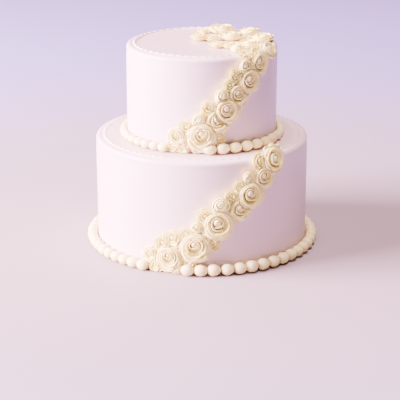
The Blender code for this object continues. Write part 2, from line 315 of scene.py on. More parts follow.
@dataclass(frozen=True)
class IcingFinish:
    """Smooth satin icing: a darker disc colour that is painted shade, the body and a whiter line colour
    that is a painted highlight on the piped strokes.
    """

    name: str
    disc_shade: Colour
    body: Colour
    line: Colour
    roughness: Pair

    def material(self) -> bpy.types.Material:
        """The tone, which paints shade on the disc and a highlight on the strokes, clouded a little, picks
        the colour; streaks and a very fine grain lie over it.
        """
        graph = Graph(self.name)
        clouds = graph.noise(9.0, 3.0, (1.0, 0.7))
        # Painted shade at tone 0 on the disc, painted highlight at tone 1 on the strokes
        graph.tinted(clouds, 0.12, ((0.0, self.disc_shade), (0.5, self.body), (1.0, self.line)))
        streaks = graph.noise(26.0, 4.0, (1.0, 0.25))
        polish = graph.spread(streaks.outputs["Fac"], *self.roughness)
        graph.link(polish.outputs["Result"], graph.shader.inputs["Roughness"])
        grain = graph.noise(1500.0, 2.0)
        smears = graph.noise(38.0, 2.0, (0.5, 2.2))
        graph.relief(((smears, 0.22, 0.5 * MM), (grain, 0.05, 0.1 * MM)))
        graph.set(
            Subsurface_Weight=0.12,
            Subsurface_Radius=(1.0, 0.72, 0.62),
            Subsurface_Scale=2.5 * MM,
            Coat_Weight=0.12,
            Coat_Roughness=0.34,
            Specular_IOR_Level=0.45,
        )
        return graph.material


@dataclass(frozen=True)
class SugarFinish:
    """Sugar petals or piped cream: a warm crease colour that is painted shade, an ivory body and a paler
    lip colour that is a painted highlight.
    """

    name: str
    crease_shade: Colour
    body: Colour
    lip_highlight: Colour
    roughness: Pair
    grain: float

    def material(self) -> bpy.types.Material:
        """The piece's tone, which holds painted shade and painted highlight, made a little uneven, picks
        the colour; a fine grain lies over it.
        """
        graph = Graph(self.name)
        mottle = graph.noise(160.0, 3.0)
        # Painted shade at tone 0 in the creases, painted highlight from tone 0.95 on the lips
        graph.tinted(mottle, 0.10, ((0.0, self.crease_shade), (0.36, self.body), (0.95, self.lip_highlight)))
        wipe = graph.noise(240.0, 2.0)
        polish = graph.spread(wipe.outputs["Fac"], *self.roughness)
        graph.link(polish.outputs["Result"], graph.shader.inputs["Roughness"])
        fine = graph.noise(2200.0, 2.0)
        soft = graph.noise(420.0, 3.0)
        graph.relief(((soft, self.grain, 0.35 * MM), (fine, 0.10, 0.08 * MM)))
        graph.set(
            Subsurface_Weight=0.14,
            Subsurface_Radius=(1.0, 0.9, 0.5),
            Subsurface_Scale=1.5 * MM,
            Specular_IOR_Level=0.42,
        )
        return graph.material


@dataclass(frozen=True)
class FloorFinish:
    """Plain pale matt ground that cools slowly away from the cake."""

    name: str
    near: Colour
    far: Colour

    def material(self) -> bpy.types.Material:
        """The colour follows the distance from the middle: near up to 0.2 m, far from 0.9 m on."""
        graph = Graph(self.name)
        place = graph.add("ShaderNodeTexCoord")
        away = graph.add("ShaderNodeVectorMath", operation="LENGTH")
        graph.link(place.outputs["Object"], away.inputs[0])
        ramp = graph.ramp(((0.2, self.near), (0.9, self.far)))
        graph.link(away.outputs["Value"], ramp.inputs["Fac"])
        graph.link(ramp.outputs["Color"], graph.shader.inputs["Base Color"])
        graph.set(Roughness=0.75, Specular_IOR_Level=0.2)
        return graph.material


# The icing's darker disc colour is painted shade, its line colour a painted highlight on the strokes
ICING = IcingFinish(
    name="satin_icing",
    disc_shade=(0.66, 0.51, 0.56),
    body=(0.77, 0.62, 0.65),
    line=(0.88, 0.78, 0.78),
    roughness=(0.36, 0.46),
)
# The crease colours are painted shade and the lip colours painted highlight
PIPING = SugarFinish(
    name="piped_pearl_cream",
    crease_shade=(0.44, 0.40, 0.25),
    body=(0.90, 0.83, 0.34),
    lip_highlight=(0.95, 0.89, 0.47),
    roughness=(0.34, 0.46),
    grain=0.30,
)
ROSE_SUGAR = SugarFinish(
    name="rose_petal_sugar",
    crease_shade=(0.36, 0.35, 0.23),
    body=(0.93, 0.87, 0.19),
    lip_highlight=(0.98, 0.92, 0.40),
    roughness=(0.42, 0.54),
    grain=0.22,
)
FILLER_SUGAR = SugarFinish(
    name="blossom_sugar",
    crease_shade=(0.52, 0.49, 0.28),
    body=(0.94, 0.89, 0.19),
    lip_highlight=(0.98, 0.94, 0.35),
    roughness=(0.42, 0.54),
    grain=0.26,
)
FLOOR = FloorFinish(name="pale_floor", near=(0.345, 0.295, 0.335), far=(0.33, 0.29, 0.66))


def make_piece(
    name: str,
    surface: Surface,
    material: bpy.types.Material,
    slot: Slot,
    nodes: Sequence[str] = (),
) -> bpy.types.Object:
    """Puts a surface in the scene as a finished piece that rides on the cake.

    Args:
        name: The piece's name.
        surface: Its points, faces and tones, in the frame's coordinates.
        material: Its finish.
        slot: The record's slot that the finish belongs to; not used.
        nodes: The CAD nodes that it stands for.

    Returns:
        The new object, at the origin.
    """
    mesh = bpy.data.meshes.new(name)
    mesh.vertices.add(len(surface.points))
    mesh.vertices.foreach_set("co", surface.points.ravel())
    mesh.loops.add(surface.faces.size)
    mesh.loops.foreach_set("vertex_index", surface.faces.ravel())
    mesh.polygons.add(len(surface.faces))
    mesh.polygons.foreach_set("loop_start", np.arange(0, surface.faces.size, 4))
    mesh.update(calc_edges=True)
    tone = mesh.attributes.new("tone", "FLOAT", "POINT")
    tone.data.foreach_set("value", surface.tone.ravel())
    weld = bmesh.new()
    weld.from_mesh(mesh)
    bmesh.ops.remove_doubles(weld, verts=weld.verts, dist=WELD)
    bmesh.ops.dissolve_degenerate(weld, edges=weld.edges, dist=WELD)
    weld.to_mesh(mesh)
    weld.free()
    mesh.shade_smooth()
    mesh.materials.append(material)
    piece = bpy.data.objects.new(name, mesh)
    bpy.context.scene.collection.objects.link(piece)
    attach(piece, BODY)
    if nodes:
        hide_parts(*nodes)
    LOG.info("%s: %d faces", name, len(mesh.polygons))
    return piece


def swell(around: Array, along: Array, waves: Sequence[tuple[int, float, float]]) -> Array:
    """Gentle unevenness of an icing: a sum of sines round and along the wall.

    Args:
        around: Angles round the cake in radians.
        along: Heights in metres.
        waves: For each, its turns round the cake, its turns in a metre and its phase.

    Returns:
        Values between about -1 and 1.
    """
    total = sum(np.sin(turns * around + 2 * math.pi * rate * along + phase) for turns, rate, phase in waves)
    return total / len(waves)


@dataclass(frozen=True)
class IcedTier:
    """One iced tier with a softly rounded edge and a raised line of short strokes on top.

    Attributes:
        node: The CAD solid that it replaces.
        strokes: How many strokes the line has.
        line_height: How far the strokes stand up.
        line_width: How wide they are.
        gutter: How deep the icing dips between the line and the edge.
        uneven: How far the wall swells in and out.
        waist: How far the wall draws in just under the edge.
        phase: Turns the unevenness, so that two tiers differ.
    """

    node: str
    strokes: int
    phase: float
    line_height: float = 1.30 * MM
    line_width: float = 0.80 * MM
    gutter: float = 0.35 * MM
    uneven: float = 0.16 * MM
    waist: float = 0.50 * MM

    @property
    def radius(self) -> float:
        """The wall's radius, from the frame."""
        return float(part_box(self.node)[1][0])

    @property
    def base(self) -> float:
        """The level of the foot, from the frame."""
        return float(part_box(self.node)[0][2])

    @property
    def top(self) -> float:
        """The level of the top, under its line."""
        return float(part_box(self.node)[1][2]) - CAD_LINE_HEIGHT

    def outline(self) -> tuple[Array, Array]:
        """The turned outline, from the middle of the top over the edge to the middle below.

        The edge is a quarter circle: radius - e(1 - cos a) and height - e(1 - sin a).

        Returns:
            The radius and the level of each point.
        """
        line = self.radius - LINE_INSET
        reach = 2.2 * self.line_width
        flat = self.radius - EDGE_ROUND
        turn = np.linspace(math.pi / 2, 0.0, 18)
        radii = [
            np.linspace(0.0, line - reach, 14, endpoint=False),
            np.linspace(line - reach, line + reach, 23, endpoint=False),
            np.linspace(line + reach, flat, 6, endpoint=False),
            self.radius - EDGE_ROUND * (1 - np.cos(turn)),
            np.full(WALL_ROWS, self.radius),
            np.array([self.radius - 0.8 * MM, self.radius * 0.7, self.radius * 0.35, 0.0]),
        ]
        levels = [
            np.full(43, self.top),
            self.top - EDGE_ROUND * (1 - np.sin(turn)),
            np.linspace(self.top - EDGE_ROUND - 2 * MM, self.base + 0.5 * MM, WALL_ROWS),
            np.full(4, self.base),
        ]
        return np.concatenate(radii), np.concatenate(levels)

    def surface(self) -> Surface:
        """The outline turned round the axis, then made uneven.

        The line is a bell curve of the distance from its circle, times a row of strokes:
        h exp(-(d/w)^2) (0.3 + 0.7 stroke). The gutter is a wider bell curve, downwards.
        """
        radii, levels = self.outline()
        columns = 12 * self.strokes
        around = np.linspace(0.0, 2 * math.pi, columns, endpoint=False)[None, :]
        radius, level = radii[:, None], levels[:, None]
        on_top = (level > self.top - 0.01 * MM) & (radius > 0)
        line = self.radius - LINE_INSET
        wobble = 0.15 * MM * np.sin(3 * around + self.phase)
        away = (radius - line - wobble) / self.line_width
        stroke = 0.5 + 0.5 * np.tanh(3.5 * (np.sin(self.strokes * around) + 0.40))
        bell = np.exp(-(away**2))
        ridge = self.line_height * bell * (0.30 + 0.70 * stroke)
        trench = self.gutter * np.exp(-(((radius - line - 2.7 * MM) / (1.2 * MM)) ** 2))
        inner = 0.35 * MM * np.exp(-(((radius - line + 2.4 * MM) / (1.5 * MM)) ** 2))
        lift = np.where(on_top, ridge - trench - inner, 0.0)
        waves = ((2, 3.0, self.phase), (3, -6.0, 1.7), (5, 9.0, 4.1), (9, 14.0, 2.6))
        fade = np.clip((radius / self.radius - 0.9) * 10, 0.0, 1.0)
        swelling = self.uneven * swell(around, level, waves) * fade - self.uneven
        dome = 0.25 * MM * swell(around, 20 * radius, waves) * (1 - fade)
        height = level + lift + np.where(on_top, dome * radius / self.radius, 0.0)
        under = (self.top - EDGE_ROUND - 2.2 * MM - level) / (2.6 * MM)
        drawn_in = self.waist * np.exp(-(under**2)) * fade
        reach = np.maximum(radius + swelling * fade - drawn_in, 0.0)
        x = reach * np.cos(around)
        y = reach * np.sin(around)
        z = np.broadcast_to(height, x.shape)
        points = np.stack([x, y, z], axis=-1).reshape(-1, 3)
        faces = grid_faces(len(radii), columns, ring=True, flip=True)
        # Painted light: the disc inside the line is painted darker as shade, and the raised strokes are
        # painted lighter as a highlight
        shaded_disc = np.clip((line - 1.5 * MM - radius) / (3 * MM), 0, 1) * on_top
        tone = 0.5 - 0.35 * shaded_disc + np.where(on_top, bell * (0.15 + 0.35 * stroke), 0.0)
        return Surface(points, faces, np.broadcast_to(tone, x.shape).reshape(-1))

    def build(self, material: bpy.types.Material) -> bpy.types.Object:
        """Makes the tier in place of its CAD solid."""
        return make_piece(self.node + "_icing", self.surface(), material, Slot.ICING, [self.node])


@dataclass(frozen=True)
class PearlBorder:
    """The pearls piped round a tier's foot, each pressed against the next.

    Attributes:
        node: The CAD solid that it replaces.
        pearls: How many there are.
        first: The azimuth of the first pearl.
        last: The azimuth of the last one, round the back.
        ease: The share by which the first pearl is larger than the middle one.
        pearl: The radius of the pearls in front.
        side: The share of it that a pearl keeps at the sides and round the back.
        wall: The radius of the wall that they lean on.
        base: The level they stand on.
        seed: Seeds their small differences.
    """

    node: str
    pearls: int
    first: float
    last: float
    ease: float
    pearl: float
    side: float
    wall: float
    base: float
    seed: int

    def surface(self) -> Surface:
        """Round beads whose poles meet their neighbours along the ring.

        The azimuth of bead n of N is first + pitch (n + ease n (1 - n / N)), so the pitch and
        the beads shrink evenly, and towards the sides they shrink as the cosine of the azimuth
        does. A bead's outline along the ring is sin(a)^0.96 of its radius. It is a little
        fatter where the nozzle began, and faint grooves wind round it.
        """
        draw = np.random.default_rng(self.seed)
        gaps = self.pearls - 1
        pitch = math.radians(self.last - self.first) / gaps
        rows, columns = 21, 28
        number = np.arange(self.pearls)[:, None, None]
        end = np.linspace(0.0, math.pi, rows)[None, :, None]
        girth = np.linspace(0.0, 2 * math.pi, columns, endpoint=False)[None, None, :]
        middle = math.radians(self.first) + pitch * (number + self.ease * number * (1 - number / gaps))
        share = (1 + self.ease * (1 - 2 * number / gaps)) / (1 + self.ease)
        step = pitch * (1 + self.ease * (1 - 2 * number / gaps))
        front = np.maximum(np.cos(middle), 0.0) ** SIDE_POWER
        full = self.pearl * share * (self.side + (1 - self.side) * front)
        jitter = draw.uniform(-1, 1, (6, self.pearls, 1, 1))
        size = 0.975 + 0.02 * jitter[0]
        ring = self.wall + GAP + full
        half = 0.53 * step * ring * (1 + 0.025 * jitter[1])
        along = -np.cos(end) * half + 0.22 * MM * jitter[2]
        plump = np.sin(end) ** 0.96 * (1 + (0.06 + 0.03 * jitter[3]) * np.cos(end))
        groove = 1.0 + 0.012 * np.cos(6 * girth + 3.0 * np.cos(end) + 3 * jitter[4])
        dent = 1.0 + 0.018 * np.cos(2 * girth + 3 * jitter[5]) * np.sin(end)
        radius = full * size * np.minimum(plump, 1.0) * groove * dent
        out = np.minimum(radius * np.cos(girth), full - PEARL_INSET)
        up = radius * np.sin(girth) + 0.10 * MM * jitter[3]
        azimuth = middle + along / ring
        x = (ring + out) * np.sin(azimuth)
        y = -(ring + out) * np.cos(azimuth)
        z = self.base + 0.5 * GAP + full + np.clip(up, 0.1 * MM - full, full)
        points = np.stack([x, y, z], axis=-1).reshape(-1, 3)
        faces = repeated(grid_faces(rows, columns, ring=True), rows * columns, self.pearls)
        # Painted light: darker towards the poles where pearls meet and on their undersides as painted
        # shade, lighter on top as a painted highlight, plus a little random tone
        tone = 1.1 * np.sin(end) ** 1.5 * (0.68 + 0.32 * np.sin(girth)) + 0.08 * jitter[0]
        return Surface(points, faces, np.clip(tone, 0, 1).reshape(-1))

    def build(self, material: bpy.types.Material) -> bpy.types.Object:
        """Makes the border in place of its CAD solid."""
        return make_piece(self.node + "_pearls", self.surface(), material, Slot.PIPING, [self.node])


@dataclass(frozen=True)
class Whorl:
    """A ring of like petals round a flower's heart.

    Attributes:
        petals: How many petals it has.
        half_width: Half a petal's width, in radians round the heart.
        path: A petal's side view as four Bezier points from its foot to its lip, each a share
            of the flower's radius and a share of its height.
        tuck: How far one side of a petal goes in and the other out, as a share of the radius.
        corner: How much of its length a petal loses at its sides.
        ripple: How far its lip waves, as a share of the height.
        glow: The tone at its foot, painted shade, and the tone at its lip, painted highlight.
        aim: Where its first petal points in radians, or None where it follows the last whorl.
        spacing: The angle from one petal to the next, or 0 where they stand evenly all round.
    """

    petals: int
    half_width: float
    path: tuple[Pair, Pair, Pair, Pair]
    tuck: float = 0.03
    corner: float = 0.26
    ripple: float = 0.03
    glow: Pair = (0.10, 1.0)
    aim: float | None = None
    spacing: float = 0.0


PETAL_COLUMNS = 17
PETAL_ROWS = 9


def petal_ring(
    whorl: Whorl, radius: float, height: float, thick: float, turn: float, draw: np.random.Generator
) -> Surface:
    """The closed petals of one whorl, about the origin with the heart along +Z.

    A petal's middle sheet is its Bezier side view carried round the heart: at s from -1 to 1
    across and t from 0 at the foot to 1 at the lip, the radius is r(t') + tuck s t' and the
    height is z(t'), with t' = t(1 - corner |s|^3), so that its corners are round. Its two
    faces lie half a thickness to each side, and the thickness falls to nothing at the rim.

    Args:
        whorl: The petals' form.
        radius: The flower's radius.
        height: The flower's height.
        thick: A petal's thickness.
        turn: Where the first petal points, in radians.
        draw: The flower's own random numbers.

    Returns:
        The petals as one surface.
    """
    count = whorl.petals
    across = np.linspace(-1.0, 1.0, PETAL_COLUMNS)[None, :, None]
    along = np.sin(np.linspace(0.0, math.pi / 2, PETAL_ROWS))[None, None, :]
    jitter = draw.uniform(-1, 1, (6, count, 1, 1))
    length = along * (1 - whorl.corner * (1 + 0.35 * jitter[0]) * np.abs(across) ** 3)
    reach, rise = bezier(whorl.path, length)
    reach = reach * (1 + 0.05 * jitter[1] * length) + whorl.tuck * across * length
    wave = np.sin(2.6 * across + 2.5 * jitter[2]) + 0.5 * np.sin(6.1 * across + 3 * jitter[3])
    rise = rise * (1 + 0.06 * jitter[4] * length) + whorl.ripple * wave * length**3
    reach = reach + 0.6 * whorl.ripple * wave * length**4
    between = whorl.spacing or 2 * math.pi / count
    aim = turn + between * np.arange(count)[:, None, None] + 0.09 * jitter[5]
    angle = aim + whorl.half_width * across
    middle = np.stack(
        [
            radius * reach * np.cos(angle),
            radius * reach * np.sin(angle),
            np.broadcast_to(height * rise, angle.shape[:2] + (PETAL_ROWS,)),
        ],
        axis=-1,
    )
    side = np.gradient(middle, axis=1)
    climb = np.gradient(middle, axis=2)
    normal = np.cross(side, climb)
    normal /= np.maximum(np.linalg.norm(normal, axis=-1, keepdims=True), 1e-12)
    taper = np.sqrt(1 - np.abs(across) ** 8) * np.sqrt(1 - along**12)
    half = (0.5 * thick * taper * np.ones((count, 1, 1)))[..., None]
    sheets = np.concatenate([middle - normal * half, middle + normal * half])
    # Painted light: petals are painted darker at the foot as shade and lighter toward the lip as a
    # highlight; their backs start a little lighter
    low, high = whorl.glow
    front = low + (high - low) * length**1.3
    back = low + 0.25 + (high - low - 0.25) * length**0.9
    size = PETAL_COLUMNS * PETAL_ROWS
    inner = repeated(grid_faces(PETAL_COLUMNS, PETAL_ROWS), size, count)
    outer = repeated(grid_faces(PETAL_COLUMNS, PETAL_ROWS, flip=True), size, count)
    return Surface(
        sheets.reshape(-1, 3),
        np.concatenate([inner, outer + count * size]),
        np.concatenate([front.reshape(-1), back.reshape(-1)]),
    )


def heart(radius: float, low: float, high: float, glow: Pair) -> Surface:
    """A flower's closed heart: an egg wrapped in three petals whose edges wind up to its tip.

    At a from 0 below to pi at the tip, the radius is r sin(a)^0.8 (1 + 0.16 cos(a)). Each wrap
    swells by 13% over a third of a turn and then drops back to the next one.

    Args:
        radius: The heart's radius.
        low: The level of its foot.
        high: The level of its tip.
        glow: The tone at its foot and at its tip, painted shade below and painted highlight above.

    Returns:
        The closed surface, about the origin.
    """
    rows, columns = 21, 60
    climb = np.linspace(0.0, math.pi, rows)[:, None]
    around = np.linspace(0.0, 2 * math.pi, columns, endpoint=False)[None, :]
    turn = np.mod((around - 1.9 * climb) * 3 / (2 * math.pi), 1.0)
    swell_out = np.minimum(turn / 0.85, (1 - turn) / 0.15)
    wrap = 1 + 0.13 * (swell_out - 0.5) * np.sin(climb)
    reach = radius * np.maximum(np.sin(climb), 0.0) ** 0.8 * (1 + 0.16 * np.cos(climb)) * wrap
    level = low + (high - low) * (0.5 - 0.5 * np.cos(climb)) + 0 * around
    points = np.stack([reach * np.cos(around), reach * np.sin(around), level], axis=-1)
    # Painted light: darker at the foot and lighter at the tip, with painted shade where each wrap tucks
    # under the next
    tone = (
        glow[0] + (glow[1] - glow[0]) * (0.5 - 0.5 * np.cos(climb))
        - 0.35 * (1 - swell_out) * np.sin(climb)
    )
    faces = grid_faces(rows, columns, ring=True)
    return Surface(points.reshape(-1, 3), faces, np.clip(tone, 0, 1).reshape(-1))


class Bloom(Enum):
    """The forms of sugar flower on the cake."""

    CUPPED = "cupped rose"
    OPEN = "open rose"
    LOW = "low rose"
    BUD = "rosebud"
    BLOSSOM = "blossom"


@dataclass(frozen=True)
class Form:
    """How a kind of flower is made up.

    Attributes:
        height: Its height as a share of its width.
        thick: A petal's thickness at full size.
        whorls: Its rings of petals, from the outside in.
        heart: Its heart's radius, foot and tip, as shares of the flower's radius and height.
        glow: The heart's tone at its foot and at its tip, painted shade below and painted highlight above.
        core: The rings that wrap closely round the heart.
        nudge: How far the heart and its wraps stand off the bowl's middle, across and upwards,
            as shares of the flower's radius.
        rise: How far its lips reach, as a share of its solid's height.
    """

    height: float
    thick: float
    whorls: tuple[Whorl, ...]
    heart: tuple[float, float, float]
    glow: Pair
    core: tuple[Whorl, ...] = ()
    nudge: Pair = (0.0, 0.0)
    rise: float = 1.0


# Low petal tips that show beside a rose, everywhere but at its lower right
FRINGE = Whorl(8, 0.36, ((0.62, 0.0), (0.88, 0.02), (1.0, 0.26), (1.18, 0.34)),
               0.02, 0.34, 0.1, (0.25, 0.95), 0.35, 0.55)

FORMS = {
    Bloom.CUPPED: Form(
        height=0.40,
        thick=1.1 * MM,
        whorls=(
            FRINGE,
            Whorl(5, 0.8, ((0.3, 0.0), (0.92, -0.04), (0.9, 0.66), (1.06, 0.38)),
                  0.05, 0.34, 0.05, (0.45, 0.85)),
            Whorl(5, 0.84, ((0.28, 0.02), (0.78, 0.02), (0.72, 0.98), (0.95, 0.56)),
                  0.05, 0.3, 0.04, (0.3, 0.92)),
            Whorl(4, 1.04, ((0.24, 0.04), (0.68, 0.06), (0.6, 1.24), (0.82, 0.78)),
                  0.035, 0.24, glow=(0.0, 1.0)),
            Whorl(2, 1.0, ((0.04, 0.4), (0.3, 0.36), (0.48, 0.46), (0.6, 0.8)),
                  0.02, 0.2, 0.02, (0.3, 0.6), -0.35, 1.3),
            Whorl(1, 1.8, ((0.2, 0.08), (0.52, 0.1), (0.4, 1.12), (0.47, 0.98)),
                  0.03, 0.3, 0.03, (0.0, 1.0), 3.75),
        ),
        core=(
            Whorl(3, 1.22, ((0.2, 0.06), (0.44, 0.1), (0.4, 0.94), (0.32, 0.99)),
                  0.05, 0.3, 0.01, (0.45, 1.0)),
        ),
        heart=(0.29, 0.16, 1.10),
        glow=(0.60, 0.95),
        nudge=(-0.06, 0.06),
    ),
    Bloom.OPEN: Form(
        height=0.40,
        thick=1.0 * MM,
        whorls=(
            FRINGE,
            Whorl(5, 0.82, ((0.3, 0.0), (0.92, -0.04), (0.9, 0.62), (1.06, 0.42)),
                  0.05, 0.36, 0.06, (0.45, 0.88)),
            Whorl(5, 0.8, ((0.26, 0.02), (0.8, 0.02), (0.76, 0.94), (0.96, 0.6)),
                  0.05, 0.34, 0.05, (0.3, 0.95)),
            Whorl(4, 0.96, ((0.2, 0.04), (0.66, 0.06), (0.62, 1.1), (0.81, 0.76)),
                  0.04, 0.3, 0.04, (0.05, 1.0)),
            Whorl(2, 1.2, ((0.04, 0.44), (0.3, 0.4), (0.46, 0.46), (0.58, 0.7)),
                  0.02, 0.2, 0.03, (0.3, 0.52), -1.9, 1.4),
            Whorl(1, 1.25, ((0.18, 0.06), (0.52, 0.08), (0.44, 1.12), (0.52, 0.9)),
                  0.03, 0.3, 0.03, (0.0, 1.0), 3.1),
            Whorl(2, 0.8, ((0.16, 0.06), (0.52, 0.08), (0.46, 1.12), (0.6, 0.88)),
                  0.03, 0.3, 0.04, (0.05, 1.0), 0.1, 1.0),
            Whorl(2, 0.95, ((0.1, 0.06), (0.38, 0.1), (0.34, 1.08), (0.42, 0.94)),
                  0.03, 0.3, 0.04, (0.1, 1.0), 0.9, 1.3),
        ),
        core=(
            Whorl(3, 1.22, ((0.14, 0.1), (0.36, 0.14), (0.34, 0.92), (0.26, 0.96)),
                  0.05, 0.3, 0.01, (0.45, 0.95)),
        ),
        heart=(0.24, 0.16, 1.04),
        glow=(0.55, 0.90),
        nudge=(-0.02, 0.08),
    ),
    Bloom.LOW: Form(
        height=0.23,
        thick=1.0 * MM,
        whorls=(
            Whorl(3, 1.25, ((0.3, 0.0), (0.98, -0.06), (1.04, 0.5), (1.02, 0.74)),
                  0.06, 0.34, 0.07, (0.25, 1.0)),
            Whorl(3, 1.2, ((0.22, 0.02), (0.78, 0.02), (0.78, 0.92), (0.86, 0.82)),
                  0.06, 0.34, 0.06, (0.05, 1.0)),
            Whorl(2, 1.6, ((0.16, 0.04), (0.54, 0.08), (0.5, 0.98), (0.6, 0.9)),
                  0.05, 0.3, 0.04, (0.0, 1.0)),
        ),
        core=(
            Whorl(2, 1.6, ((0.1, 0.06), (0.34, 0.1), (0.3, 0.98), (0.26, 0.94)),
                  0.05, 0.3, 0.02, (0.3, 1.0)),
        ),
        heart=(0.20, 0.05, 0.90),
        glow=(0.3, 1.0),
        rise=1.34,
    ),
    Bloom.BUD: Form(
        height=0.66,
        thick=0.95 * MM,
        whorls=(
            Whorl(4, 1.06, ((0.4, 0.0), (1.22, 0.02), (1.08, 0.66), (0.86, 0.7)),
                  0.05, 0.26, 0.04, (0.6, 1.0)),
            Whorl(3, 1.45, ((0.3, 0.05), (0.98, 0.1), (0.86, 0.88), (0.52, 0.92)),
                  0.06, 0.18, 0.03, (0.45, 1.0)),
        ),
        core=(
            Whorl(3, 1.45, ((0.2, 0.08), (0.64, 0.14), (0.58, 0.98), (0.16, 1.0)),
                  0.06, 0.14, 0.02, (0.5, 1.0)),
        ),
        heart=(0.34, 0.05, 0.99),
        glow=(0.5, 1.0),
    ),
    Bloom.BLOSSOM: Form(
        height=0.50,
        thick=0.85 * MM,
        whorls=(
            Whorl(5, 0.74, ((0.2, 0.0), (1.05, 0.0), (1.04, 0.7), (1.24, 0.52)),
                  0.04, 0.36, 0.12, (0.7, 1.0)),
            Whorl(5, 0.72, ((0.16, 0.1), (0.8, 0.12), (0.76, 0.92), (0.92, 0.8)),
                  0.04, 0.36, 0.12, (0.66, 1.0)),
            Whorl(4, 0.8, ((0.08, 0.3), (0.46, 0.34), (0.42, 1.02), (0.54, 0.98)),
                  0.03, 0.34, 0.1, (0.62, 1.0)),
        ),
        heart=(0.32, 0.10, 0.94),
        glow=(0.60, 1.0),
    ),
}


@dataclass(frozen=True)
class Seat:
    """Where a flower sits, and which way is across, upwards and out from there.

    Attributes:
        place: The middle of its foot.
        across: The direction to its right.
        upward: The direction to its top.
        outward: The direction that it faces.
        bend: The radius of the wall behind it, or 0 on a flat seat.
        lean: How far it leans across and upwards for each unit that it stands out.
        swing: How far its heart is off its middle, as shares of its radius.
        foot: The level of its tier's foot, which its petals stay above.
    """

    place: Vector
    across: Vector
    upward: Vector
    outward: Vector
    bend: float = 0.0
    lean: Pair = (0.0, 0.0)
    swing: Pair = (0.0, 0.0)
    foot: float = -1.0

    @property
    def axes(self) -> Array:
        """The three directions, one a line."""
        return np.array([self.across, self.upward, self.outward])

    def seated(self, surface: Surface, radius: float, height: float) -> Surface:
        """Carries a flower about the origin to the seat.

        Its heart swings off its middle, x + swing (1 - r / R). It leans about half its height,
        x + lean (z - h / 2), and its back falls away as the wall does, z - (B - sqrt(B^2 -
        x^2)). The last two depend on each other and are repeated until they settle. Points
        within e of its tier's foot are eased up, f + e exp((z - f - e) / e), to stay above f,
        and those within e of the cake's highest level are eased down in the same way.

        Args:
            surface: The flower about the origin, its heart along +Z.
            radius: Its radius.
            height: Its height.

        Returns:
            The flower in the frame's coordinates.
        """
        x, y, rise = surface.points.T
        off = radius * (1 - np.minimum(np.hypot(x, y) / radius, 1.0))
        x = x + self.swing[0] * off
        y = y + self.swing[1] * off
        z = rise
        for _ in range(BEND_STEPS if self.bend else 1):
            across = x + self.lean[0] * (z - height / 2)
            fall = self.bend - np.sqrt(self.bend**2 - across**2) if self.bend else 0.0
            z = rise - fall
        x = x + self.lean[0] * (z - height / 2)
        y = y + self.lean[1] * (z - height / 2)
        points = np.array(self.place) + np.stack([x, y, z], axis=-1) @ self.axes
        low = np.minimum(points[:, 2] - self.foot - EASE, 0.0)
        high = np.maximum(points[:, 2] - CAD_BOX[1][2] + EASE, 0.0)
        points[:, 2] += EASE * (np.exp(low / EASE) - np.exp(-high / EASE)) - low - high
        return replace(surface, points=points)


@dataclass(frozen=True)
class Tier:
    """The sizes of an iced tier that its flowers need, read from the frame."""

    radius: float
    top: float
    base: float

    @staticmethod
    def of(node: str) -> "Tier":
        """Reads a tier's sizes from its CAD solid."""
        low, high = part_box(node)
        return Tier(float(high[0]), float(high[2]) - CAD_LINE_HEIGHT, float(low[2]))

    @staticmethod
    def side(azimuth: float) -> Vector:
        """The horizontal direction outwards at an azimuth."""
        turn = math.radians(azimuth)
        return Vector((math.sin(turn), -math.cos(turn), 0.0))

    def wall(self, azimuth: float, level_mm: float) -> Seat:
        """A seat on the wall. Its flower leans to the upper left and part way to the front."""
        out = self.side(azimuth)
        up = Vector((0, 0, 1))
        place = out * (self.radius + GAP) + up * (self.base + level_mm * MM)
        side = math.tan(math.radians(azimuth))
        lean = (-LEAN_LEFT - LEAN_TURNED * side, LEAN_UP)
        swing = (-HEART_LEFT - HEART_TURNED * side, HEART_UP)
        return Seat(place, up.cross(out), up, out, self.radius, lean, swing, self.base + GAP)

    def edge(self, azimuth: float, tilt: float) -> Seat:
        """A seat on the rounded edge, tilted up from the wall by tilt degrees."""
        side = self.side(azimuth)
        up = Vector((0, 0, 1))
        lean = math.radians(tilt)
        out = side * math.cos(lean) + up * math.sin(lean)
        upward = up * math.cos(lean) - side * math.sin(lean)
        centre = side * (self.radius - EDGE_ROUND) + up * (self.top - EDGE_ROUND)
        return Seat(centre + out * (EDGE_ROUND + GAP), upward.cross(out), upward, out)

    def level(self, x_mm: float, y_mm: float, width_mm: float) -> Seat:
        """A seat on the top, raised where the foot meets the raised line."""
        reach = (math.hypot(x_mm, y_mm) + FOOT_SHARE * width_mm / 2) * MM
        lift = CAD_LINE_HEIGHT if reach > self.radius - LINE_INSET - LINE_WIDTH else 0.0
        place = Vector((x_mm * MM, y_mm * MM, self.top + lift + GAP))
        return Seat(place, Vector((1, 0, 0)), Vector((0, 1, 0)), Vector((0, 0, 1)))


